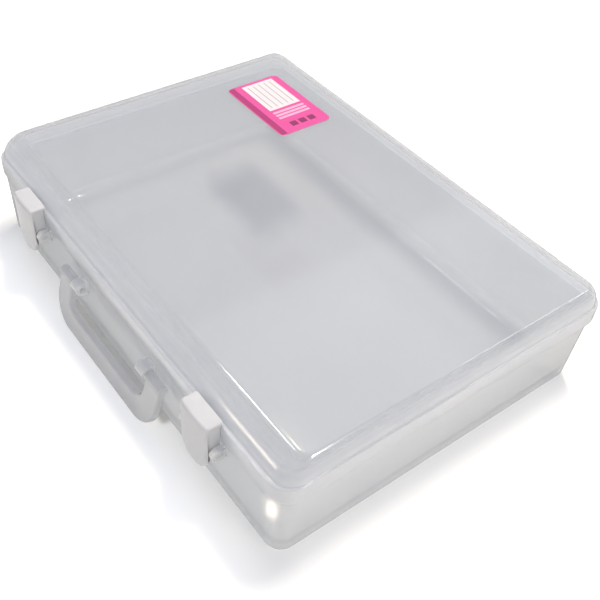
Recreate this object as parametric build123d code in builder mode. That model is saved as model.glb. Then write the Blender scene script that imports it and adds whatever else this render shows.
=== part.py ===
from build123d import *
import os
from math import cos, radians, sin

# Flat carrying case for A4 papers and small craft parts, moulded in translucent plastic.
# +X runs along the front, +Y runs from the front to the hinge side and +Z points up.
# The origin is the middle of the underside. All lengths are in millimetres.

# Overall size of the closed case.
case_length = 330.0
case_depth = 239.8
case_height = 73.6
corner_radius = 13.0
sheet_wall = 2.0

# Tray. Each wall leans in towards the floor, the hinge side the most.
tray_top = 48.2
tray_front_inset_top = 1.0
tray_side_inset_top = 1.8
tray_back_inset_top = 1.8
tray_front_inset_floor = 2.0
tray_side_inset_floor = 3.2
tray_back_inset_floor = 7.5
tray_floor_corner_radius = 10.0
tray_floor = 2.2
tray_outer_bottom_radius = 3.0
tray_inner_bottom_radius = 7.0

# Lid skirt, which reaches down over the rim of the tray.
skirt_bottom = 48.6
skirt_top = 60.4
skirt_wall = 1.8
skirt_edge_radius = 0.7
rim_side_clearance = 0.5
rim_top_clearance = 0.2
rim_wall = 2.0

# Lid crown, with a wide soft shoulder at the front and narrow ones elsewhere.
crown_front_inset = 2.7
crown_side_inset = 1.1
crown_back_inset = 3.3
crown_corner_radius = 12.0
crown_foot = 0.8
flat_front_inset = 16.8
flat_side_inset = 6.4
flat_back_inset = 10.8
flat_corner_radius = 6.0
shoulder_end_angle = 68.0
shoulder_steps = 5

# Hinge at the back: two sets of knuckles, each on its own pin.
hinge_axis_height = 47.2
hinge_axis_offset = 3.6
hinge_end_distance = 65.0
knuckle_radius = 3.2
knuckle_length = 14.0
knuckle_gap = 0.4
lid_web_height = 8.0
pin_radius = 1.5
pin_clearance = 0.06
pin_end_recess = 0.5

# Latches on the front, rocking on pins that are moulded with them.
latch_end_distance = 64.0
latch_width = 25.0
latch_plate = 3.0
latch_top = 64.0
latch_bottom = 27.0
latch_tip_radius = 11.0
latch_front_offset = 10.1
latch_cheek = 2.2
latch_band_gap = 0.6
latch_hook_overlap = 1.4
latch_hook_gap = 0.3
latch_pivot_height = 43.5
latch_pivot_offset = 4.1
latch_boss_radius = 3.4
latch_pin_radius = 1.7
latch_edge_radius = 0.8
ear_radius = 3.9
ear_thickness = 3.6
ear_gap = 0.4

# Carrying handle, a flat loop that droops from two lugs on the front.
handle_half_width = 60.0
handle_reach = 34.3
handle_arm_width = 15.5
handle_bar_width = 14.3
handle_thickness = 5.0
handle_outer_radius = 19.5
handle_inner_radius = 9.0
handle_edge_radius = 1.6
handle_droop = 14.7
handle_pivot_height = 36.0
handle_pivot_offset = 3.4
handle_boss_radius = 3.2
handle_pin_radius = 1.9
handle_pin_length = 6.0
lug_radius = 4.2
lug_thickness = 8.0
lug_gap = 0.5

# Paper label stuck on the lid.
label_length = 68.5
label_width = 43.4
label_thickness = 0.15
label_corner_radius = 4.0
label_end_distance = 68.8
label_back_distance = 53.9

# Places that follow from the sizes above.
front_face = -case_depth / 2
back_face = case_depth / 2
ledge_height = skirt_top - sheet_wall
rim_top = ledge_height - rim_top_clearance
rim_inset = skirt_wall + rim_side_clearance
shoulder_start = skirt_top + crown_foot
hinge_axis_y = back_face + hinge_axis_offset
hinge_centre = case_length / 2 - hinge_end_distance
latch_centre = case_length / 2 - latch_end_distance
latch_front = front_face - latch_front_offset
latch_pivot_y = front_face - latch_pivot_offset
handle_pivot_y = front_face - handle_pivot_offset


def draw_outline(front, side, back, radius):
    """Draw the rounded outline of the case, drawn in by an inset on each side."""
    with Locations((0, (front - back) / 2)):
        RectangleRounded(case_length - 2 * side, case_depth - front - back, radius)


def draw_lug(centre_y, centre_z, radius, reach):
    """Draw a lug seen along X: a round end at the pivot and a web of the given reach."""
    with Locations((centre_y, centre_z)):
        Circle(radius)
    with Locations((centre_y + reach / 2, centre_z)):
        Rectangle(abs(reach), 2 * radius)


def draw_round(centre_y, centre_z, radius):
    """Draw a circle seen along X, for a pin, a boss or a bore."""
    with Locations((centre_y, centre_z)):
        Circle(radius)


def crown(wall):
    """Loft the crown of the lid from its foot to its flat top, drawn in by a wall thickness."""
    rise = (case_height - shoulder_start) / sin(radians(shoulder_end_angle))
    reach = 1 - cos(radians(shoulder_end_angle))
    with BuildPart() as body:
        for step in range(shoulder_steps + 1):
            angle = radians(shoulder_end_angle * step / shoulder_steps)
            share = (1 - cos(angle)) / reach
            front = crown_front_inset + share * (flat_front_inset - crown_front_inset)
            side = crown_side_inset + share * (flat_side_inset - crown_side_inset)
            back = crown_back_inset + share * (flat_back_inset - crown_back_inset)
            radius = crown_corner_radius + share * (flat_corner_radius - crown_corner_radius)
            with BuildSketch(Plane.XY.offset(shoulder_start + rise * sin(angle) - wall)):
                draw_outline(front + wall, side + wall, back + wall, radius - wall / 2)
        loft()
    return body.part


def save(piece, name):
    """Label a finished piece and write it under its node's name."""
    piece.label = name
    export_step(piece, f"parts/{name}.step")


os.makedirs("parts", exist_ok=True)

# Space inside the tray, with a soft curve where the floor meets the walls.
with BuildPart() as tray_hollow:
    with BuildSketch(Plane.XY.offset(tray_floor)):
        draw_outline(
            tray_front_inset_floor + sheet_wall,
            tray_side_inset_floor + sheet_wall,
            tray_back_inset_floor + sheet_wall,
            tray_floor_corner_radius - sheet_wall / 2,
        )
    with BuildSketch(Plane.XY.offset(rim_top)):
        inset = rim_inset + rim_wall
        draw_outline(inset, inset, inset, corner_radius - rim_inset)
    loft(ruled=True)
    fillet(tray_hollow.edges().group_by(Axis.Z)[0], tray_inner_bottom_radius)

# Tray: leaning walls and a rim that the skirt of the lid covers.
wall_lean = (tray_front_inset_floor - tray_front_inset_top) / tray_top
ear_root = front_face + tray_front_inset_floor - wall_lean * latch_pivot_height
ear_offset = latch_width / 2 + ear_gap + ear_thickness / 2
lug_root = front_face + tray_front_inset_floor - wall_lean * handle_pivot_height
lug_offset = handle_half_width - handle_arm_width - lug_gap - lug_thickness / 2
knuckle_pitch = knuckle_length + knuckle_gap
knuckle_root = back_face - tray_back_inset_top - sheet_wall / 2

with BuildPart() as base_tray:
    with BuildSketch(Plane.XY):
        draw_outline(
            tray_front_inset_floor,
            tray_side_inset_floor,
            tray_back_inset_floor,
            tray_floor_corner_radius,
        )
    with BuildSketch(Plane.XY.offset(tray_top)):
        draw_outline(
            tray_front_inset_top,
            tray_side_inset_top,
            tray_back_inset_top,
            corner_radius - tray_front_inset_top,
        )
    loft(ruled=True)
    fillet(base_tray.edges().group_by(Axis.Z)[0], tray_outer_bottom_radius)
    with BuildSketch(Plane.XY.offset(tray_top)):
        draw_outline(rim_inset, rim_inset, rim_inset, corner_radius - rim_inset)
    extrude(amount=rim_top - tray_top)
    # Two ears for each latch.
    for latch_x in (-latch_centre, latch_centre):
        for side in (-1, 1):
            with BuildSketch(Plane.YZ.offset(latch_x + side * ear_offset)):
                draw_lug(latch_pivot_y, latch_pivot_height, ear_radius,
                         ear_root + sheet_wall / 2 - latch_pivot_y)
                with Locations((latch_pivot_y, latch_pivot_height)):
                    Circle(latch_pin_radius + pin_clearance, mode=Mode.SUBTRACT)
            extrude(amount=ear_thickness / 2, both=True)
    # Two lugs for the handle.
    for side in (-1, 1):
        with BuildSketch(Plane.YZ.offset(side * lug_offset)):
            draw_lug(handle_pivot_y, handle_pivot_height, lug_radius,
                     lug_root + sheet_wall / 2 - handle_pivot_y)
            with Locations((handle_pivot_y, handle_pivot_height)):
                Circle(handle_pin_radius + pin_clearance, mode=Mode.SUBTRACT)
        extrude(amount=lug_thickness / 2, both=True)
    # Outer knuckles of both hinges.
    for hinge_x in (-hinge_centre, hinge_centre):
        for side in (-1, 1):
            with BuildSketch(Plane.YZ.offset(hinge_x + side * knuckle_pitch)):
                draw_round(hinge_axis_y, hinge_axis_height, knuckle_radius)
                web_reach = hinge_axis_y - knuckle_root
                with Locations((hinge_axis_y - web_reach / 2,
                                hinge_axis_height - knuckle_radius / 2)):
                    Rectangle(web_reach, knuckle_radius)
                with Locations((hinge_axis_y, hinge_axis_height)):
                    Circle(pin_radius + pin_clearance, mode=Mode.SUBTRACT)
            extrude(amount=knuckle_length / 2, both=True)
    add(tray_hollow.part, mode=Mode.SUBTRACT)
save(base_tray.part, "base_tray")

# Lid: a skirt over the rim, a domed crown with a flat top, and the middle knuckles.
with BuildPart() as lid_hollow:
    with BuildSketch(Plane.XY.offset(skirt_bottom)):
        draw_outline(skirt_wall, skirt_wall, skirt_wall, corner_radius - skirt_wall)
    extrude(amount=ledge_height - skirt_bottom)
    with BuildSketch(Plane.XY.offset(ledge_height)):
        draw_outline(
            crown_front_inset + sheet_wall,
            crown_side_inset + sheet_wall,
            crown_back_inset + sheet_wall,
            crown_corner_radius - sheet_wall / 2,
        )
    extrude(amount=shoulder_start - sheet_wall - ledge_height)
    add(crown(sheet_wall))

with BuildPart() as lid:
    with BuildSketch(Plane.XY.offset(skirt_bottom)):
        draw_outline(0, 0, 0, corner_radius)
    extrude(amount=skirt_top - skirt_bottom)
    skirt_rims = lid.edges().group_by(Axis.Z)
    fillet(skirt_rims[0] + skirt_rims[-1], skirt_edge_radius)
    with BuildSketch(Plane.XY.offset(ledge_height)):
        draw_outline(crown_front_inset, crown_side_inset, crown_back_inset, crown_corner_radius)
    extrude(amount=shoulder_start - ledge_height)
    add(crown(0))
    # Middle knuckle of each hinge, on a web that hangs from the skirt.
    for hinge_x in (-hinge_centre, hinge_centre):
        with BuildSketch(Plane.YZ.offset(hinge_x)):
            with BuildLine():
                slant = knuckle_radius * sin(radians(45))
                Polyline(
                    (back_face - skirt_wall / 2, skirt_bottom),
                    (back_face - skirt_wall / 2, skirt_bottom + lid_web_height),
                    (back_face, skirt_bottom + lid_web_height),
                    (hinge_axis_y + slant, hinge_axis_height + slant),
                    (hinge_axis_y, hinge_axis_height),
                    (hinge_axis_y - slant, hinge_axis_height + slant),
                    close=True,
                )
            make_face()
            draw_round(hinge_axis_y, hinge_axis_height, knuckle_radius)
            with Locations((hinge_axis_y, hinge_axis_height)):
                Circle(pin_radius + pin_clearance, mode=Mode.SUBTRACT)
        extrude(amount=knuckle_length / 2, both=True)
    add(lid_hollow.part, mode=Mode.SUBTRACT)
save(lid.part, "lid")

# Hinge pins, a little shorter than the row of knuckles that each one holds.
pin_length = 3 * knuckle_length + 2 * knuckle_gap - 2 * pin_end_recess
for name, hinge_x in (("left", -hinge_centre), ("right", hinge_centre)):
    with BuildPart() as hinge_pin:
        with BuildSketch(Plane.YZ.offset(hinge_x)):
            draw_round(hinge_axis_y, hinge_axis_height, pin_radius)
        extrude(amount=pin_length / 2, both=True)
    save(hinge_pin.part, f"hinge_pin_{name}")

# Latches: a front plate with a round finger tip, a hook over the skirt and two cheeks.
hook_tip = front_face + latch_hook_overlap
hook_under = skirt_top + latch_hook_gap
cheek_back = front_face - latch_band_gap
for name, latch_x in (("left", -latch_centre), ("right", latch_centre)):
    with BuildPart() as latch:
        with BuildSketch(Plane.YZ.offset(latch_x)):
            with BuildLine():
                Polyline(
                    (latch_front, latch_bottom),
                    (latch_front, latch_top),
                    (hook_tip, latch_top),
                    (hook_tip, hook_under),
                    (latch_front + latch_plate, hook_under),
                    (latch_front + latch_plate, latch_bottom),
                    close=True,
                )
            make_face()
        extrude(amount=latch_width / 2, both=True)
        tip_edges = latch.edges().filter_by(Axis.Y).group_by(Axis.Z)[0]
        fillet(tip_edges, latch_tip_radius)
        outer_edges = latch.faces().sort_by(Axis.Y)[0].edges()
        fillet(outer_edges, latch_edge_radius)
        for side in (-1, 1):
            cheek_x = latch_x + side * (latch_width - latch_cheek) / 2
            with BuildSketch(Plane.YZ.offset(cheek_x)):
                with BuildLine():
                    Polyline(
                        (latch_front + latch_plate / 2, latch_pivot_height - latch_boss_radius),
                        (latch_front + latch_plate / 2, hook_under + latch_edge_radius),
                        (cheek_back, hook_under + latch_edge_radius),
                        (cheek_back, latch_pivot_height),
                        (latch_pivot_y, latch_pivot_height - latch_boss_radius),
                        close=True,
                    )
                make_face()
                draw_round(latch_pivot_y, latch_pivot_height, latch_boss_radius)
            extrude(amount=latch_cheek / 2, both=True)
            pin_plane = Plane.YZ.offset(latch_x + side * latch_width / 2)
            with BuildSketch(pin_plane):
                draw_round(latch_pivot_y, latch_pivot_height, latch_pin_radius)
            extrude(amount=side * (ear_gap + ear_thickness - pin_end_recess))
    save(latch.part, f"latch_{name}")

# Handle: drawn flat in its own plane, which leans out from the front of the case.
handle_plane = Plane(
    origin=(0, handle_pivot_y, handle_pivot_height),
    x_dir=(1, 0, 0),
    z_dir=(0, -cos(radians(handle_droop)), sin(radians(handle_droop))),
)
opening_half_width = handle_half_width - handle_arm_width
opening_reach = handle_reach - handle_bar_width

with BuildPart() as handle:
    with BuildSketch(handle_plane) as loop:
        with Locations((0, -handle_reach / 2)):
            Rectangle(2 * handle_half_width, handle_reach)
        fillet(loop.vertices().group_by(Axis.Y)[0], handle_outer_radius)
        with Locations((0, -opening_reach / 2)):
            Rectangle(2 * opening_half_width, opening_reach, mode=Mode.SUBTRACT)
        inner_corners = loop.vertices().filter_by_position(
            Axis.Y, -opening_reach - 0.1, -opening_reach + 0.1
        )
        fillet(inner_corners, handle_inner_radius)
    extrude(amount=handle_thickness / 2, both=True)
    rims = handle.faces().filter_by(Plane(origin=(0, 0, 0), z_dir=handle_plane.z_dir)).edges()
    fillet(rims, handle_edge_radius)
    for side in (-1, 1):
        with BuildSketch(Plane.YZ.offset(side * (handle_half_width - handle_arm_width / 2))):
            draw_round(handle_pivot_y, handle_pivot_height, handle_boss_radius)
        extrude(amount=handle_arm_width / 2, both=True)
        with BuildSketch(Plane.YZ.offset(side * opening_half_width)):
            draw_round(handle_pivot_y, handle_pivot_height, handle_pin_radius)
        extrude(amount=-side * handle_pin_length)
save(handle.part, "handle")

# Label: thin paper with round corners, stuck flat on the lid.
with BuildPart() as label:
    with BuildSketch(Plane.XY.offset(case_height)):
        with Locations((label_end_distance - case_length / 2, back_face - label_back_distance)):
            RectangleRounded(label_length, label_width, label_corner_radius)
    extrude(amount=label_thickness)
save(label.part, "label")
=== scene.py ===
import math
import bmesh
import bpy
from mathutils import Matrix, Vector


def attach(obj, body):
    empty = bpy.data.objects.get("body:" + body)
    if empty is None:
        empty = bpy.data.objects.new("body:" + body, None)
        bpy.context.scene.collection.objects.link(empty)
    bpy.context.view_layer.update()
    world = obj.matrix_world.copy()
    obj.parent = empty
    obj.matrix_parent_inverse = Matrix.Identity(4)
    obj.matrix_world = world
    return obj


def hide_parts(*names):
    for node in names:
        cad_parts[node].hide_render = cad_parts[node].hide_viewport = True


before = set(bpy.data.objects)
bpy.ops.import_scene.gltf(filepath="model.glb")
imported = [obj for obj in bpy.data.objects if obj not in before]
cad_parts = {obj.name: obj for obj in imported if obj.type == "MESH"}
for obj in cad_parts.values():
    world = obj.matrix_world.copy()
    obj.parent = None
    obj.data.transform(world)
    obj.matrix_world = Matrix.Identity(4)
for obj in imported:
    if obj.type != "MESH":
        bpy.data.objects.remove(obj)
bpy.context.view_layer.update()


# Table: a white laminate board that goes on past the edges of the view, with the case lying on it.
# It keeps the case's soft shadow, and a little glow lifts the rest to the white of the photograph.
def linear(hex_colour):
    """Turn an sRGB hex colour into the linear colour that Blender's sockets take."""
    steps = [int(hex_colour[i:i + 2], 16) / 255 for i in (1, 3, 5)]
    return [s / 12.92 if s <= 0.04045 else ((s + 0.055) / 1.055) ** 2.4 for s in steps] + [1.0]


def add_node(tree, kind, settings=None, links=None):
    """Add a node, set its properties and input values, and link its inputs from other sockets."""
    node = tree.nodes.new(kind)
    for name, value in (settings or {}).items():
        if isinstance(name, str) and hasattr(node, name):
            setattr(node, name, value)
        else:
            node.inputs[name].default_value = value
    for name, source in (links or {}).items():
        tree.links.new(source, node.inputs[name])
    return node


def new_material(name):
    """Make an empty node material and return it with its tree."""
    material = bpy.data.materials.new(name)
    material.use_nodes = True
    material.node_tree.nodes.clear()
    return material, material.node_tree


def gap_outside(tree, place, half):
    """Distance of each place from a rectangle about the middle, given half its length and width."""
    reach = add_node(tree, "ShaderNodeVectorMath", {"operation": "ABSOLUTE"}, {0: place})
    beyond = add_node(tree, "ShaderNodeVectorMath", {"operation": "SUBTRACT", 1: half},
                      {0: reach.outputs[0]})
    outside = add_node(tree, "ShaderNodeVectorMath", {"operation": "MAXIMUM", 1: (0, 0, 0)},
                       {0: beyond.outputs[0]})
    return add_node(tree, "ShaderNodeVectorMath", {"operation": "LENGTH"},
                    {0: outside.outputs[0]}).outputs["Value"]


def rays_to_eye(tree, path):
    """1 for a ray that shows a surface to the eye: straight, through something clear or as a reflection."""
    straight = add_node(tree, "ShaderNodeMath", {"operation": "MAXIMUM"},
                        {0: path.outputs["Is Camera Ray"], 1: path.outputs["Is Transmission Ray"]})
    return add_node(tree, "ShaderNodeMath", {"operation": "MAXIMUM"},
                    {0: straight.outputs[0], 1: path.outputs["Is Glossy Ray"]}).outputs[0]


table_width, table_drop = 6.0, 0.0002
bpy.ops.mesh.primitive_plane_add(size=table_width, location=(0, 0, -table_drop))
table = bpy.context.object
table.name = "studio_table"

# White laminate, pressed and matt: an even, slightly warm white with no gloss. Its glow is weakest near the
# case and left out under the handle, which paints a darker contact shadow there; it grows far off, where
# the lamps don't reach.
foot_half, foot_fade, glow_in_painted_shade, glow_clear = (0.16, 0.115, 0), 0.04, 0.3, 0.62
loop_middle, loop_half, loop_fade = (-0.008, -0.111, 0), (0.060, 0.0085, 0), 0.005
far_start, far_end, far_gain = 0.5, 1.4, 1.6
white_laminate, tree = new_material("white_laminate_table")
laminate = add_node(tree, "ShaderNodeBsdfDiffuse", {"Color": linear("#E8E7E2")})
spot = add_node(tree, "ShaderNodeTexCoord")
gap = gap_outside(tree, spot.outputs["Object"], foot_half)
fade = add_node(tree, "ShaderNodeMapRange", {"interpolation_type": "SMOOTHSTEP", "From Max": foot_fade,
                                             "To Min": glow_in_painted_shade, "To Max": glow_clear}, {"Value": gap})
# Painted shadow: the glow is left out over the table under the handle's loop, so it shows darker there.
from_loop = add_node(tree, "ShaderNodeVectorMath", {"operation": "SUBTRACT", 1: loop_middle},
                     {0: spot.outputs["Object"]})
loop_gap = gap_outside(tree, from_loop.outputs[0], loop_half)
past_painted_loop_shadow = add_node(tree, "ShaderNodeMapRange",
                     {"interpolation_type": "SMOOTHSTEP", "From Max": loop_fade}, {"Value": loop_gap})
far = add_node(tree, "ShaderNodeMapRange", {"From Min": far_start, "From Max": far_end,
                                            "To Min": 1.0, "To Max": far_gain}, {"Value": gap})
near = add_node(tree, "ShaderNodeMath", {"operation": "MULTIPLY"},
                {0: fade.outputs[0], 1: past_painted_loop_shadow.outputs[0]})
lift = add_node(tree, "ShaderNodeMath", {"operation": "MULTIPLY"}, {0: near.outputs[0], 1: far.outputs[0]})
glow = add_node(tree, "ShaderNodeEmission", {"Color": linear("#FFFFFF")}, {"Strength": lift.outputs[0]})
lifted = add_node(tree, "ShaderNodeAddShader", {}, {0: laminate.outputs[0], 1: glow.outputs[0]})
# Through the plastic, the table is as grey as the ground that the real case lay on.
shaded = add_node(tree, "ShaderNodeBsdfDiffuse", {"Color": linear("#B2B2B0")})
path = add_node(tree, "ShaderNodeLightPath")
behind = add_node(tree, "ShaderNodeMath", {"operation": "GREATER_THAN", 1: 0.5},
                  {0: path.outputs["Transparent Depth"]})
veiled = add_node(tree, "ShaderNodeMixShader", {},
                  {0: behind.outputs[0], 1: lifted.outputs[0], 2: shaded.outputs[0]})
pick = add_node(tree, "ShaderNodeMixShader", {},
                {0: rays_to_eye(tree, path), 1: laminate.outputs[0], 2: veiled.outputs[0]})
add_node(tree, "ShaderNodeOutputMaterial", {}, {"Surface": pick.outputs[0]})
table.data.materials.append(white_laminate)

# Room: plain painted walls all round, which the eye sees as an even white.
# Their light on the case is dim, warm at the sides and blue overhead, which cools the shadows.
room_light, side_height, overhead_height = 0.40, 0.3, 0.95
first_colour, second_colour, mixed = 6, 7, 2  # the Mix node's colour sockets, by their places
world = bpy.data.worlds.new("white_room")
bpy.context.scene.world = world
world.use_nodes = True
tree = world.node_tree
tree.nodes.clear()
heading = add_node(tree, "ShaderNodeTexCoord")
upward = add_node(tree, "ShaderNodeSeparateXYZ", {}, {"Vector": heading.outputs["Generated"]})
overhead = add_node(tree, "ShaderNodeMapRange", {"From Min": side_height, "From Max": overhead_height},
                    {"Value": upward.outputs["Z"]})
sky = add_node(tree, "ShaderNodeMix",
               {"data_type": "RGBA", first_colour: linear("#FFFDF6"), second_colour: linear("#9CBAFF")},
               {"Factor": overhead.outputs[0]})
room = add_node(tree, "ShaderNodeBackground", {"Strength": room_light}, {"Color": sky.outputs[mixed]})
backdrop = add_node(tree, "ShaderNodeBackground", {"Color": linear("#FFFFFF"), "Strength": 1.0})
path = add_node(tree, "ShaderNodeLightPath")
pick = add_node(tree, "ShaderNodeMixShader", {},
                {0: rays_to_eye(tree, path), 1: room.outputs[0], 2: backdrop.outputs[0]})
add_node(tree, "ShaderNodeOutputWorld", {}, {"Surface": pick.outputs[0]})


# Lamps: rectangular softboxes on stands. Three light the case with a slightly warm white.
# The others show only as reflections in the plastic, each where the photograph has a glint.
def add_softbox(name, place, aim, along, size, power, colour, glints=False):
    """Add a softbox of some watts at a place, aimed at a point, with its length along a direction."""
    data = bpy.data.lights.new(name, "AREA")
    data.shape = "RECTANGLE"
    data.size, data.size_y = size
    data.energy = power
    data.color = linear(colour)[:3]
    softbox = bpy.data.objects.new(name, data)
    bpy.context.scene.collection.objects.link(softbox)
    away = (Vector(place) - Vector(aim)).normalized()
    across = away.cross(Vector(along)).normalized()
    axes = Matrix((across.cross(away), across, away)).transposed()
    softbox.matrix_world = Matrix.Translation(place) @ axes.to_4x4()
    softbox.visible_diffuse = not glints
    softbox.visible_glossy = glints


case_middle, right, rearward = (0, 0, 0.03), (1, 0, 0), (0, 1, 0)
# High up and a little behind: lights the flat top, and throws the shadow forward.
add_softbox("key_strip", (-0.20, 0.54, 1.56), case_middle, (-0.894, 0.447, 0), (0.66, 0.14), 19.2,
            "#FFF1DE")
# Right and front: light the two walls that face the camera.
add_softbox("side_softbox", (1.7, 0.3, 0.9), case_middle, rearward, (1.0, 0.7), 7.8, "#FFF2E0")
add_softbox("front_softbox", (0.3, -1.8, 0.7), case_middle, right, (1.2, 0.8), 4.9, "#FFF2E0")
# Glints along the crown's right edge, its front edge near the right corner, and its left edge.
add_softbox("back_glint", (0.05, 1.14, 1.35), (0.158, 0.05, 0.07), rearward, (0.42, 0.3), 3.4,
            "#FFFDF8", True)
add_softbox("left_glint", (-0.585, -0.06, 1.35), (0.12, -0.1, 0.07), rearward, (0.2, 0.24), 2.6,
            "#FFFDF8", True)
add_softbox("far_left_glint", (-2.2, 0.70, 0.8), case_middle, rearward, (0.5, 0.35), 2.0,
            "#FFFDF8", True)
# A window's reflection low on the front shoulder, and a pale glow over the flat top.
add_softbox("front_window", (-0.54, -1.5, 0.5), (0.14, -0.11, 0.07), right, (0.29, 0.42), 3.4,
            "#FFF2DA", True)
add_softbox("window_glow", (-0.36, 0.75, 1.07), (-0.36, 0.75, 0.0), rearward, (1.2, 0.8), 2.6,
            "#FFFFFF", True)
# The bright spot low on the tray's right front corner, and the short glints at its floor's left edge.
add_softbox("corner_glint", (-0.487, 0.404, 1.28), (0.135, -0.103, 0.002), (0.6, -0.5, 0.6),
            (0.06, 0.022), 0.7, "#FFF2D2", True)
add_softbox("fillet_glint", (1.2, 0.40, 0.95), (-0.157, -0.058, 0.004), rearward, (0.09, 0.4), 6.0,
            "#FFFDF8", True)

# Camera: a lens of 52 mm on a full frame, half a metre from the case, at its front right and above.
# Its place, direction and slight roll come from fitting the case's outline in the photograph.
frame_width_mm, lens_mm, distance = 36.0, 51.95, 0.53646
azimuth, elevation, roll = math.radians(49.642), math.radians(44.465), math.radians(5.004)
aim = Vector((0.042917, -0.015857, 0.035))
camera_data = bpy.data.cameras.new("camera")
camera_data.sensor_width = frame_width_mm
camera_data.lens = lens_mm
camera = bpy.data.objects.new("camera", camera_data)
bpy.context.scene.collection.objects.link(camera)
back = Vector((math.sin(azimuth) * math.cos(elevation),
               -math.cos(azimuth) * math.cos(elevation), math.sin(elevation)))
turn = back.to_track_quat("Z", "Y").to_matrix() @ Matrix.Rotation(roll, 3, "Z")
camera.matrix_world = Matrix.Translation(aim + distance * back) @ turn.to_4x4()
bpy.context.scene.camera = camera
bpy.context.scene.view_settings.view_transform = "Standard"

# Tray: one injection moulding in natural polypropylene, with a floor, leaning walls and a rim.
# Ears for the latches, lugs for the handle and the outer hinge knuckles are moulded with it.
polypropylene_ior, flow_width = 1.49, 0.045
bulk_roughness, light_through = (0.42, 0.5), 0.45
# The haze that solid lugs add, the step over which it comes in, and how much added haze starts to
# take on the tint of a thick section and has all of it.
lug_haze, lug_edge, thick_from, thick_full = 0.6, 0.0003, 0.2, 0.6
# How far a face turns from the eye before its reflections are painted darker and when they are darkest, how
# dark they are then, and how level a face starts to keep them bright and keeps them so altogether.
turned_from, turned_full, painted_reflection_darkest, level_from, level_full = 0.63, 0.85, 0.15, 0.8, 0.97


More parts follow.
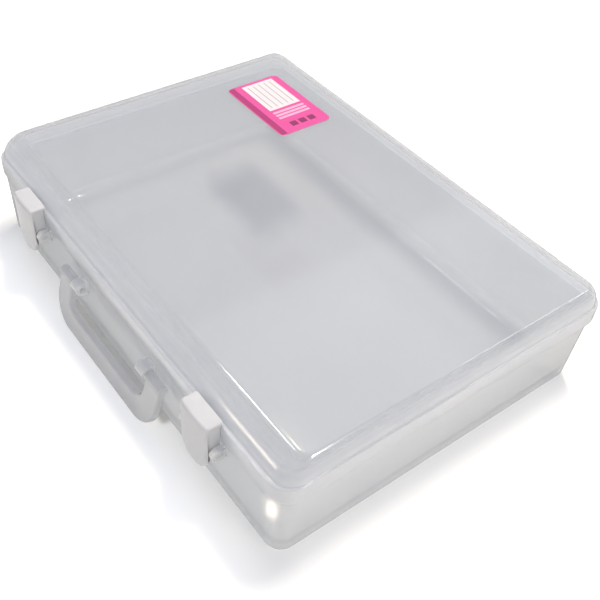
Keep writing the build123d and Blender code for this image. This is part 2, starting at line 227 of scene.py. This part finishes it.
# Natural polypropylene, injection moulded against polished steel, is clear but milky. The bulk
# scatters light, so a wall is a pale haze with soft shapes behind it, and thick sections are whiter.
# The skin has a soft gloss, with slow flow marks some 45 mm wide in its tint and shine.
def natural_polypropylene(name, veil_square, veil_grazing, tints, clear, gloss, dense_bands=(),
                          thick_tint=None, wall_reach=1.0, shadow=1.0, depth=0.0):
    """Make the plastic, with the haze of one face seen square on and at a slant.

    Tints are the bulk's two colours, clear is the colour of light that passes straight through, and
    gloss is the skin's range of roughness. Each dense band has its low and high end, the heights
    over which it comes in and goes out, and the haze that it adds. Past wall_reach, front or back,
    only solid lugs and knuckles stand out. Shadow is how much of its full shadow the plastic casts,
    and depth is how deep light spreads in it.
    """
    material, tree = new_material(name)
    place = add_node(tree, "ShaderNodeTexCoord")
    flow = add_node(tree, "ShaderNodeTexNoise", {"Scale": 1 / flow_width, "Detail": 2.0, "Roughness": 0.4},
                    {"Vector": place.outputs["Object"]})
    tint = add_node(tree, "ShaderNodeMix",
                    {"data_type": "RGBA", first_colour: linear(tints[0]), second_colour: linear(tints[1])},
                    {"Factor": flow.outputs["Fac"]})
    clear_path = add_node(tree, "ShaderNodeBsdfTransparent", {"Color": linear(clear)})
    slant = add_node(tree, "ShaderNodeLayerWeight", {"Blend": 0.5})
    veil = add_node(tree, "ShaderNodeMapRange", {"To Min": veil_square, "To Max": veil_grazing},
                    {"Value": slant.outputs["Facing"]})
    height = add_node(tree, "ShaderNodeSeparateXYZ", {}, {"Vector": place.outputs["Object"]})
    density = veil
    for low, high, rise_over, fall_over, extra in dense_bands:
        rise = add_node(tree, "ShaderNodeMapRange", {"From Min": low, "From Max": low + rise_over},
                        {"Value": height.outputs["Z"]})
        fall = add_node(tree, "ShaderNodeMapRange", {"From Min": high - fall_over, "From Max": high,
                                                     "To Min": extra, "To Max": 0.0},
                        {"Value": height.outputs["Z"]})
        band = add_node(tree, "ShaderNodeMath", {"operation": "MULTIPLY"},
                        {0: rise.outputs[0], 1: fall.outputs[0]})
        density = add_node(tree, "ShaderNodeMath", {"operation": "ADD", "use_clamp": True},
                           {0: density.outputs[0], 1: band.outputs[0]})
    outwards = add_node(tree, "ShaderNodeMath", {"operation": "ABSOLUTE"}, {0: height.outputs["Y"]})
    solid = add_node(tree, "ShaderNodeMapRange",
                     {"From Min": wall_reach, "From Max": wall_reach + lug_edge, "To Max": lug_haze},
                     {"Value": outwards.outputs[0]})
    density = add_node(tree, "ShaderNodeMath", {"operation": "ADD", "use_clamp": True},
                       {0: density.outputs[0], 1: solid.outputs[0]})
    # The added haze takes the tint of a thick section.
    added = add_node(tree, "ShaderNodeMath", {"operation": "SUBTRACT", "use_clamp": True},
                     {0: density.outputs[0], 1: veil.outputs[0]})
    warmth = add_node(tree, "ShaderNodeMapRange", {"From Min": thick_from, "From Max": thick_full},
                      {"Value": added.outputs[0]})
    milk = add_node(tree, "ShaderNodeMix",
                    {"data_type": "RGBA", second_colour: linear(thick_tint or tints[1])},
                    {"Factor": warmth.outputs[0], first_colour: tint.outputs[mixed]})
    dull = add_node(tree, "ShaderNodeMapRange",
                    {"To Min": bulk_roughness[0], "To Max": bulk_roughness[1]},
                    {"Value": flow.outputs["Fac"]})
    haze = add_node(tree, "ShaderNodeBsdfPrincipled",
                    {"IOR": polypropylene_ior, "Subsurface Weight": 1.0 if depth else 0.0,
                     "Subsurface Scale": depth, "Subsurface Radius": (1.0, 1.0, 1.0)},
                    {"Base Color": milk.outputs[mixed], "Roughness": dull.outputs[0]})
    through = add_node(tree, "ShaderNodeBsdfTranslucent", {}, {"Color": milk.outputs[mixed]})
    bulk = add_node(tree, "ShaderNodeMixShader", {0: light_through},
                    {1: haze.outputs[0], 2: through.outputs[0]})
    # Light that falls on a thick section comes out of its other side, so its shadow is a weak one.
    path = add_node(tree, "ShaderNodeLightPath")
    cast = add_node(tree, "ShaderNodeMapRange", {"To Min": 1.0, "To Max": shadow},
                    {"Value": path.outputs["Is Shadow Ray"]})
    blocked = add_node(tree, "ShaderNodeMath", {"operation": "MULTIPLY"},
                       {0: density.outputs[0], 1: cast.outputs[0]})
    wall = add_node(tree, "ShaderNodeMixShader", {},
                    {0: blocked.outputs[0], 1: clear_path.outputs[0], 2: bulk.outputs[0]})
    # The skin mirrors the white room, and a level face shows it white. In an upright or rounded face that
    # turns away from the eye, its reflections are painted darker, standing in for darker things low down.
    shine = add_node(tree, "ShaderNodeMapRange", {"To Min": gloss[0], "To Max": gloss[1]},
                     {"Value": flow.outputs["Fac"]})
    painted_turned_shade = add_node(tree, "ShaderNodeMapRange", {"From Min": turned_from, "From Max": turned_full,
                                                 "To Min": 1.0, "To Max": painted_reflection_darkest},
                    {"Value": slant.outputs["Facing"]})
    lying = add_node(tree, "ShaderNodeSeparateXYZ", {}, {"Vector": place.outputs["Normal"]})
    level = add_node(tree, "ShaderNodeMath", {"operation": "ABSOLUTE"}, {0: lying.outputs["Z"]})
    flat = add_node(tree, "ShaderNodeMapRange", {"From Min": level_from, "From Max": level_full},
                    {"Value": level.outputs[0]})
    painted_reflection_tone = add_node(tree, "ShaderNodeMath", {"operation": "MAXIMUM"},
                    {0: painted_turned_shade.outputs[0], 1: flat.outputs[0]})
    skin = add_node(tree, "ShaderNodeBsdfAnisotropic", {},
                    {"Color": painted_reflection_tone.outputs[0], "Roughness": shine.outputs[0]})
    mirror = add_node(tree, "ShaderNodeFresnel", {"IOR": polypropylene_ior})
    side = add_node(tree, "ShaderNodeNewGeometry")
    outward = add_node(tree, "ShaderNodeMath", {"operation": "SUBTRACT", 0: 1.0},
                       {1: side.outputs["Backfacing"]})
    share = add_node(tree, "ShaderNodeMath", {"operation": "MULTIPLY"},
                     {0: mirror.outputs[0], 1: outward.outputs[0]})
    finish = add_node(tree, "ShaderNodeMixShader", {},
                      {0: share.outputs[0], 1: wall.outputs[0], 2: skin.outputs[0]})
    add_node(tree, "ShaderNodeOutputMaterial", {}, {"Surface": finish.outputs[0]})
    return material


def finish_node(node, material):
    """Give a CAD node its finish."""
    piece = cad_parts[node]
    piece.data.materials.clear()
    piece.data.materials.append(material)


# The floor and the curve that joins it to the walls are thicker than the walls.
floor_band = (-0.001, 0.0120, 0.0005, 0.005, 0.25)
walls_end = 0.1201
tray_plastic = natural_polypropylene("natural_polypropylene_tray", 0.40, 0.68, ("#EBEEF1", "#F0F2F5"),
                                     "#FCFDFD", (0.045, 0.07), [floor_band], "#F4F4F3", walls_end)
finish_node("base_tray", tray_plastic)

# Lid: one injection moulding in the same natural polypropylene. A skirt covers the tray's rim, a
# crown with a wide front shoulder rises from it to a flat top, and two knuckles hang at the back.
case_length, case_depth, corner_radius, corner_steps = 0.330, 0.2398, 0.013, 12
skirt_low, skirt_high, skirt_wall = 0.0486, 0.0604, 0.0018
skirt_edge, inner_edge, ledge_round = 0.0007, 0.0003, 0.0009
crown_foot = (0.0027, 0.0011, 0.0033, 0.012)
crown_flat = (0.0168, 0.0064, 0.0108, 0.006)
crown_start, crown_top, crown_end, crown_step = 0.0612, 0.0736, 68, 4
crown_wall, crown_under, top_blend, flat_start, sharp_angle = 0.002, 0.0584, 0.0012, 0.001, 35


def arc(middle, radius, start, sweep, steps):
    """Points on a round arc about a middle, from one angle through a sweep, in degrees."""
    angles = [math.radians(start + sweep * step / steps) for step in range(steps + 1)]
    return [(middle[0] + radius * math.cos(angle), middle[1] + radius * math.sin(angle))
            for angle in angles]


def soft_bend(start, corner, end, share):
    """The place at a share of the way along the soft curve that rounds off a corner."""
    return tuple((1 - share) ** 2 * a + 2 * share * (1 - share) * b + share * share * c
                 for a, b, c in zip(start, corner, end))


# A ring is one level outline of the lid: how far its front, sides and rear lie in from the case's
# greatest size, its corner radius and its height.
def ring_points(front, side, rear, radius, height):
    """Points around a ring."""
    half = case_length / 2 - side
    near, far = -case_depth / 2 + front, case_depth / 2 - rear
    corners = ((half - radius, near + radius, -90), (half - radius, far - radius, 0),
               (-half + radius, far - radius, 90), (-half + radius, near + radius, 180))
    return [(*point, height) for x, y, start in corners
            for point in arc((x, y), radius, start, 90, corner_steps)]


def even_ring(inset, height):
    """A ring of the skirt, drawn in by the same inset all round."""
    return (inset, inset, inset, corner_radius - inset, height)


def crown_ring(angle, wall):
    """A ring of the crown's rounded shoulder, at an angle up its arc, drawn in by a wall."""
    rise = (crown_top - crown_start) / math.sin(math.radians(crown_end))
    share = (1 - math.cos(math.radians(angle))) / (1 - math.cos(math.radians(crown_end)))
    front, side, rear, radius = (foot + share * (flat - foot) for foot, flat in zip(crown_foot, crown_flat))
    return (front + wall, side + wall, rear + wall, radius - wall / 2,
            crown_start + rise * math.sin(math.radians(angle)) - wall)


def drawn_in(ring, inset, height):
    """A ring like another one, drawn in further all round, at a height of its own."""
    return tuple(value + inset for value in ring[:3]) + (ring[3] - inset, height)


def bend_rings(start, corner, end, steps):
    """Rings on the soft curve that leaves one ring towards a corner and arrives at another."""
    return [soft_bend(start, corner, end, step / steps) for step in range(1, steps + 1)]


# From inside the skirt's top, down and round its lower edge, up its face and over the ledge.
outside = [even_ring(skirt_wall, crown_under), even_ring(skirt_wall, skirt_low + inner_edge)]
outside += bend_rings(outside[-1], even_ring(skirt_wall, skirt_low),
                      even_ring(skirt_wall - inner_edge, skirt_low), 3)
outside.append(even_ring(skirt_edge, skirt_low))
outside += bend_rings(outside[-1], even_ring(0, skirt_low), even_ring(0, skirt_low + skirt_edge), 6)
outside.append(even_ring(0, skirt_high - ledge_round))
foot = crown_ring(0, 0)
ledge = tuple(value / 2 for value in foot[:3]) + ((corner_radius + crown_foot[3]) / 2, skirt_high)
outside += bend_rings(outside[-1], even_ring(0, skirt_high), ledge, 6)
outside += bend_rings(ledge, foot[:4] + (skirt_high,), foot, 6)
# Up the crown's rounded shoulder and over the soft brow to the flat top.
outside += [crown_ring(angle, 0) for angle in range(crown_step, crown_end - crown_step + 1, crown_step)]
brow = crown_ring(crown_end, 0)
brow_end = drawn_in(brow, top_blend, crown_top)
outside += bend_rings(outside[-1], brow, brow_end, 8)
outside.append(drawn_in(brow_end, flat_start, crown_top))
# From under the flat top down the shoulder's inside to the skirt.
brow_under = crown_ring(crown_end, crown_wall)
inside = [drawn_in(brow_under, flat_start, brow_under[4]), brow_under]
inside += [crown_ring(angle, crown_wall) for angle in range(crown_end - crown_step, -1, -crown_step)]
inside.append(inside[-1][:4] + (crown_under,))


def band_faces(shape, low, high):
    """Join two closed rows of points with a band of faces."""
    for index in range(len(low)):
        after = (index + 1) % len(low)
        shape.faces.new((low[index], low[after], high[after], high[index]))


def make_piece(name, shape):
    """Turn the faces of a shape outwards and make it an object of the scene."""
    bmesh.ops.recalc_face_normals(shape, faces=shape.faces)
    mesh = bpy.data.meshes.new(name)
    shape.to_mesh(mesh)
    shape.free()
    piece = bpy.data.objects.new(name, mesh)
    bpy.context.scene.collection.objects.link(piece)
    return piece


def solid_between(name, stations):
    """Join equal outlines, each a list of points, into a closed solid along the case's length."""
    shape = bmesh.new()
    rows = [[shape.verts.new(point) for point in station] for station in stations]
    for low, high in zip(rows, rows[1:]):
        band_faces(shape, low, high)
    shape.faces.new(rows[0])
    shape.faces.new(rows[-1])
    return make_piece(name, shape)


def combine(piece, tool, way):
    """Join a tool into a piece, or cut it out, and remove the tool."""
    step = piece.modifiers.new("combine", "BOOLEAN")
    step.operation, step.object, step.solver = way, tool, "EXACT"
    bpy.context.view_layer.objects.active = piece
    bpy.ops.object.modifier_apply(modifier=step.name)
    bpy.data.objects.remove(tool)


def finish_moulding(piece, material):
    """Smooth a moulding's soft faces, keep its edges sharp, and give it its finish."""
    for face in piece.data.polygons:
        face.use_smooth = True
    piece.data.set_sharp_from_angle(angle=math.radians(sharp_angle))
    piece.data.materials.clear()
    piece.data.materials.append(material)


shell = bmesh.new()
rows_out, rows_in = ([[shell.verts.new(point) for point in ring_points(*ring)] for ring in run]
                     for run in (outside, inside))
for run in (rows_out, rows_in, [rows_out[0], rows_in[-1]]):
    for low, high in zip(run, run[1:]):
        band_faces(shell, low, high)
shell.faces.new(rows_out[-1])
shell.faces.new(rows_in[0])
lid = make_piece("lid_moulding", shell)

hinge_y, hinge_z, knuckle_radius, knuckle_offset, knuckle_half = 0.1235, 0.0472, 0.0032, 0.1, 0.007
bore_radius, bore_length = 0.00156, 0.02
web_front, web_bend, web_top = 0.119, 0.1199, 0.0566
web = [(web_front, skirt_low), (web_front, web_top), (web_bend, web_top)]
web += arc((hinge_y, hinge_z), knuckle_radius, 45, -270, 30)
along_pin = Matrix.Rotation(math.pi / 2, 4, "Y")
for hinge_x in (-knuckle_offset, knuckle_offset):
    ends = (hinge_x - knuckle_half, hinge_x + knuckle_half)
    combine(lid, solid_between("knuckle", [[(x, y, z) for y, z in web] for x in ends]), "UNION")
    bore = bmesh.new()
    bmesh.ops.create_cone(bore, cap_ends=True, segments=32, radius1=bore_radius, radius2=bore_radius,
                          depth=bore_length,
                          matrix=Matrix.Translation((hinge_x, hinge_y, hinge_z)) @ along_pin)
    combine(lid, make_piece("bore", bore), "DIFFERENCE")

# The skirt and the foot of the shoulder are thicker than the flat top.
skirt_band = (0.0480, 0.0608, 0.0004, 0.0008, 0.44)
shoulder_band = (0.0600, 0.0715, 0.0008, 0.0030, 0.33)
lid_plastic = natural_polypropylene("natural_polypropylene_lid", 0.12, 0.40, ("#EEF1F6", "#F3F6FA"),
                                    "#FCFDFE", (0.09, 0.12), [skirt_band, shoulder_band], "#F3F4F6",
                                    walls_end)
finish_moulding(lid, lid_plastic)
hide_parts("lid")
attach(lid, "lid")

# Hinge pins: two lengths of bright steel wire, pushed in from the side. They lie in the tray's
# outer knuckles, and the lid's middle knuckles turn about them.

# Drawn steel wire is bright, with fine marks from the die. They are 0.8 mm here, so that they show.
steel_wire, tree = new_material("drawn_steel_wire")
die_mark = 0.0008
place = add_node(tree, "ShaderNodeTexCoord")
die_marks = add_node(tree, "ShaderNodeTexNoise", {"Scale": 1 / die_mark, "Detail": 2.0},
                     {"Vector": place.outputs["Object"]})
roughness = add_node(tree, "ShaderNodeMapRange", {"To Min": 0.2, "To Max": 0.35},
                     {"Value": die_marks.outputs["Fac"]})
wire_skin = add_node(tree, "ShaderNodeBsdfPrincipled", {"Base Color": linear("#BFC0C2"), "Metallic": 1.0},
                     {"Roughness": roughness.outputs[0]})
add_node(tree, "ShaderNodeOutputMaterial", {}, {"Surface": wire_skin.outputs[0]})
for node in ("hinge_pin_left", "hinge_pin_right"):
    finish_node(node, steel_wire)

# Latches: opaque white polypropylene, moulded in one with the pins that snap into the tray's ears.
# A front plate with a round finger tip carries a hook over the skirt and a cheek at each end.
latch_offset, latch_half, latch_low, latch_high, tip_radius = 0.101, 0.0125, 0.027, 0.064, 0.011
latch_front, latch_plate, face_bow, edge_round, edge_pull = -0.13, 0.003, 0.0008, 0.0018, 0.7
hook_tip, hook_under, tip_cut = -0.1185, 0.0607, 0.0002
cheek_front, cheek_back, cheek_top, cheek_wall, cheek_inset = -0.1272, -0.1205, 0.0612, 0.002, 0.0004
pivot, boss_radius, pin_radius, pin_root, pin_end = (-0.124, 0.0435), 0.0034, 0.0017, 0.001, 0.016

# White polypropylene, coloured through and moulded against polished steel, is an even cool white
# with a soft gloss. A little light sinks into it, and 6 mm flow marks break up its tint and shine.
white_plastic, tree = new_material("white_polypropylene")
flow_mark = 0.006
place = add_node(tree, "ShaderNodeTexCoord")
mottle = add_node(tree, "ShaderNodeTexNoise", {"Scale": 1 / flow_mark, "Detail": 3.0},
                  {"Vector": place.outputs["Object"]})
tint = add_node(tree, "ShaderNodeMix",
                {"data_type": "RGBA", first_colour: linear("#DCDEE0"), second_colour: linear("#E3E5E7")},
                {"Factor": mottle.outputs["Fac"]})
roughness = add_node(tree, "ShaderNodeMapRange", {"To Min": 0.34, "To Max": 0.44},
                     {"Value": mottle.outputs["Fac"]})
latch_skin = add_node(tree, "ShaderNodeBsdfPrincipled",
                      {"IOR": polypropylene_ior, "Subsurface Weight": 0.2, "Subsurface Scale": 0.002,
                       "Subsurface Radius": (1.0, 1.0, 1.0)},
                      {"Base Color": tint.outputs[mixed], "Roughness": roughness.outputs[0]})
add_node(tree, "ShaderNodeOutputMaterial", {}, {"Surface": latch_skin.outputs[0]})


def rounded(corners):
    """Points of an outline whose corners, each a place and a length to round off, are soft curves."""
    points = []
    for index, (y, z, reach) in enumerate(corners):
        ends = []
        for other in (corners[index - 1], corners[(index + 1) % len(corners)]):
            length = math.hypot(other[0] - y, other[1] - z)
            ends.append((y + (other[0] - y) * reach / length, z + (other[1] - z) * reach / length))
        points += [soft_bend(ends[0], (y, z), ends[1], step / 5) for step in range(6)]
    return points


def latch_outline(across):
    """The latch's outline at a distance across from its middle, smaller near its rounded ends."""
    past = max(0.0, abs(across) - (latch_half - edge_round))
    pull = edge_pull * (edge_round - math.sqrt(edge_round ** 2 - past ** 2))
    turned = min(max(0.0, abs(across) - (latch_half - tip_radius)), tip_radius - tip_cut)
    low = latch_low + tip_radius - math.sqrt(tip_radius ** 2 - turned ** 2) + pull
    high, tip, under = latch_high - pull, hook_tip - pull, hook_under + 0.3 * pull
    face = latch_front + face_bow * (across / latch_half) ** 2 + pull
    back = latch_front + latch_plate - 0.4 * pull
    return rounded([(face, low, 0.0009), (face, high, 0.0024), (tip, high, 0.0012),
                    (tip, under, 0.0004), (back, under, 0.0004), (back, low, 0.0003)])


cheek = [(cheek_front, pivot[1] - boss_radius), (cheek_front, cheek_top), (cheek_back, cheek_top),
         (cheek_back, pivot[1])] + arc(pivot, boss_radius, 0, -90, 8)
cheek_ends = (latch_half - cheek_inset - cheek_wall, latch_half - cheek_inset)
pin = arc(pivot, pin_radius, 0, 360, 24)[:-1]
pin_ends = (latch_half - pin_root, pin_end)
spread = [latch_half * math.sin(math.radians(-90 + 180 * step / 32)) for step in range(33)]
for node, middle in (("latch_left", -latch_offset), ("latch_right", latch_offset)):
    stations = [[(middle + across, y, z) for y, z in latch_outline(across)] for across in spread]
    latch = solid_between(node + "_moulding", stations)
    for name, outline, ends in (("cheek", cheek, cheek_ends), ("pin", pin, pin_ends)):
        for side in (-1, 1):
            part = [[(middle + side * end, y, z) for y, z in outline] for end in ends]
            combine(latch, solid_between(name, part), "UNION")
    finish_moulding(latch, white_plastic)
    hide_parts(node)
    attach(latch, node)

# Handle: a flat loop in natural polypropylene, moulded with the two pins that snap into the tray's
# lugs. It is 5 mm thick and scatters far more light than the walls, which makes it whiter.
thick_section = natural_polypropylene("natural_polypropylene_thick", 0.56, 0.76, ("#E5E6E8", "#EBECED"),
                                      "#FBFBFC", (0.12, 0.16), shadow=0.25, depth=0.004)
finish_node("handle", thick_section)

# Label: coated paper, printed in pink with plain marks and a white writing panel, stuck on the lid.
# Each print is a rectangle: its middle and half its size, in metres in the label's own plane. They
# are a dark band, the white panel and its ruled lines, three pale bars and three dark squares.
label_middle = Vector((-0.0962, 0.066, 0))
prints = [((0, -0.0185), (0.0335, 0.0024), "#B42672"), ((-0.0135, 0.0027), (0.0182, 0.0133), "#F4F2F3")]
prints += [((-0.0135, 0.0120 - 0.0047 * line), (0.0155, 0.0003), "#B9A6B2") for line in range(5)]
prints += [((0.0085 + 0.0036 * bar, 0.0027), (0.0011, 0.0133), "#F9C3DF") for bar in range(3)]
prints += [((0.0255, 0.0103 - 0.0076 * square), (0.0027, 0.0027), "#8E1A5C") for square in range(3)]

# Coated paper, printed in flat inks, is smooth with a slight sheen. The speckle of the ink is
# 0.8 mm wide, coarser than the real one, so that it shows.
paper_label, tree = new_material("coated_label_paper")
ink_speckle = 0.0008
place = add_node(tree, "ShaderNodeTexCoord")
local = add_node(tree, "ShaderNodeVectorMath", {"operation": "SUBTRACT", 1: label_middle},
                 {0: place.outputs["Object"]})
speckle = add_node(tree, "ShaderNodeTexNoise", {"Scale": 1 / ink_speckle, "Detail": 2.0},
                   {"Vector": place.outputs["Object"]})
ink = add_node(tree, "ShaderNodeMix",
               {"data_type": "RGBA", first_colour: linear("#E84C9F"), second_colour: linear("#F05CAA")},
               {"Factor": speckle.outputs["Fac"]})
colour = ink.outputs[mixed]
for middle, half, ink_colour in prints:
    offset = add_node(tree, "ShaderNodeVectorMath", {"operation": "SUBTRACT", 1: middle + (0,)},
                      {0: local.outputs[0]})
    away = add_node(tree, "ShaderNodeVectorMath", {"operation": "ABSOLUTE"}, {0: offset.outputs[0]})
    past = add_node(tree, "ShaderNodeVectorMath", {"operation": "SUBTRACT", 1: half + (1,)},
                    {0: away.outputs[0]})
    parts = add_node(tree, "ShaderNodeSeparateXYZ", {}, {"Vector": past.outputs[0]})
    furthest = add_node(tree, "ShaderNodeMath", {"operation": "MAXIMUM"},
                        {0: parts.outputs["X"], 1: parts.outputs["Y"]})
    within = add_node(tree, "ShaderNodeMath", {"operation": "LESS_THAN", 1: 0.0}, {0: furthest.outputs[0]})
    layer = add_node(tree, "ShaderNodeMix", {"data_type": "RGBA", second_colour: linear(ink_colour)},
                     {"Factor": within.outputs[0], first_colour: colour})
    colour = layer.outputs[mixed]
roughness = add_node(tree, "ShaderNodeMapRange", {"To Min": 0.32, "To Max": 0.45},
                     {"Value": speckle.outputs["Fac"]})
paper_skin = add_node(tree, "ShaderNodeBsdfPrincipled", {"IOR": 1.5},
                      {"Base Color": colour, "Roughness": roughness.outputs[0]})
add_node(tree, "ShaderNodeOutputMaterial", {}, {"Surface": paper_skin.outputs[0]})
finish_node("label", paper_label)

# A view through the closed case crosses many plastic skins, and each takes one transparent bounce.
bpy.context.scene.cycles.transparent_max_bounces = 32
